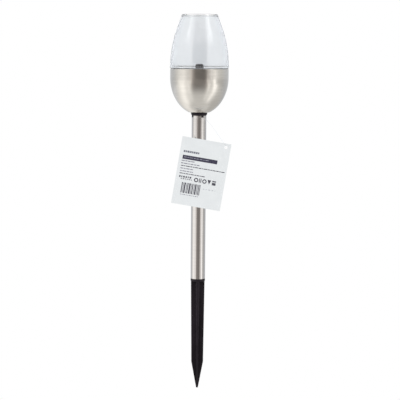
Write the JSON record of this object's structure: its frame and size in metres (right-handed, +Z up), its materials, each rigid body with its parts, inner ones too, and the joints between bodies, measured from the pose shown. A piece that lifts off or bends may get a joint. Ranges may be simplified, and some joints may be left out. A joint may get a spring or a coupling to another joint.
{
  "type": "solar garden light",
  "caption": "Solar garden stake light: clear flared shade over a brushed steel cup, a thin steel stem, a black plastic ground spike and a swing tag.",
  "frame": {"origin": "on the lamp's axis at ground level, in the plane of the flat underside of the spike's stop flange", "axes": "+Z up along the stem, the swing tag faces -Y, +X to the right seen from the front"},
  "size_m": [0.059, 0.056, 0.3613],
  "materials": {
    "black_plastic": "fine satin moulded black",
    "brushed_steel": "brushed stainless steel",
    "clear_shade": "clear moulded acrylic with fine inner flutes",
    "white_plastic": "white moulded plastic",
    "solar_cell": "dark blue cells under clear resin",
    "led_lens": "clear epoxy lens",
    "board": "green solder mask",
    "nickel": "nickel-plated steel",
    "cell_sleeve": "shrink sleeve",
    "red_wire": "wire insulation",
    "black_wire": "wire insulation",
    "seal": "soft foam rubber",
    "card": null,
    "nylon": "clear nylon"
  },
  "bodies": {
    "stake": {"ground_spike": "black_plastic"},
    "stem": {"stem_tube": "brushed_steel"},
    "head": {"neck_collar": "black_plastic", "steel_cup": "brushed_steel", "cup_washer": "nickel", "cup_screw": "nickel"},
    "lamp_top": {"shade": "clear_shade", "seal_ring": "seal", "tray": "white_plastic", "solar_panel": "solar_cell", "led_bezel": "black_plastic", "led_lamp": "led_lens", "led_lead_1": "nickel", "led_lead_2": "nickel", "lower_housing": "black_plastic", "housing_screw_1": "nickel", "housing_screw_2": "nickel", "housing_screw_3": "nickel", "housing_screw_4": "nickel", "battery_cell": "cell_sleeve", "contact_plate_pos": "nickel", "contact_plate_neg": "nickel", "contact_spring": "nickel", "switch_body": "nickel", "circuit_board": "board", "control_chip": "black_plastic", "choke_coil": "cell_sleeve", "battery_wire_pos": "red_wire", "battery_wire_neg": "black_wire", "solar_wire_pos": "red_wire", "solar_wire_neg": "black_wire", "switch_wire_1": "black_wire", "switch_wire_2": "black_wire"},
    "battery_door": {"battery_cover": "black_plastic"},
    "switch_knob": {"switch_slider": "white_plastic"},
    "tag_loop": {"tag_tie": "nylon", "tie_lock": "nylon"},
    "tag": {"tag_card": "card"}
  },
  "joints": [
    {"name": "stem_lift", "type": "slide", "parent": "stake", "child": "stem", "axis": [0, 0, 1], "range_m": [0, 0.02]},
    {"name": "head_lift", "type": "slide", "parent": "stem", "child": "head", "axis": [0, 0, 1], "range_m": [0, 0.02]},
    {"name": "top_lift", "type": "slide", "parent": "head", "child": "lamp_top", "axis": [0, 0, 1], "range_m": [0, 0.03]},
    {"name": "battery_cover_slide", "type": "slide", "parent": "lamp_top", "child": "battery_door", "axis": [1, 0, 0], "range_m": [0, 0.005]},
    {"name": "switch_slide", "type": "slide", "parent": "lamp_top", "child": "switch_knob", "axis": [1, 0, 0], "range_m": [0, 0.002]},
    {"name": "tag_turn", "type": "hinge", "parent": "stem", "child": "tag_loop", "pos_m": [0, 0, 0.1579], "axis": [0, 0, 1], "continuous": true},
    {"name": "tag_swing", "type": "hinge", "parent": "tag_loop", "child": "tag", "pos_m": [0.0258, -0.008, 0.1301], "axis": [0, 1, 0], "range_deg": [-60, 20]}
  ]
}
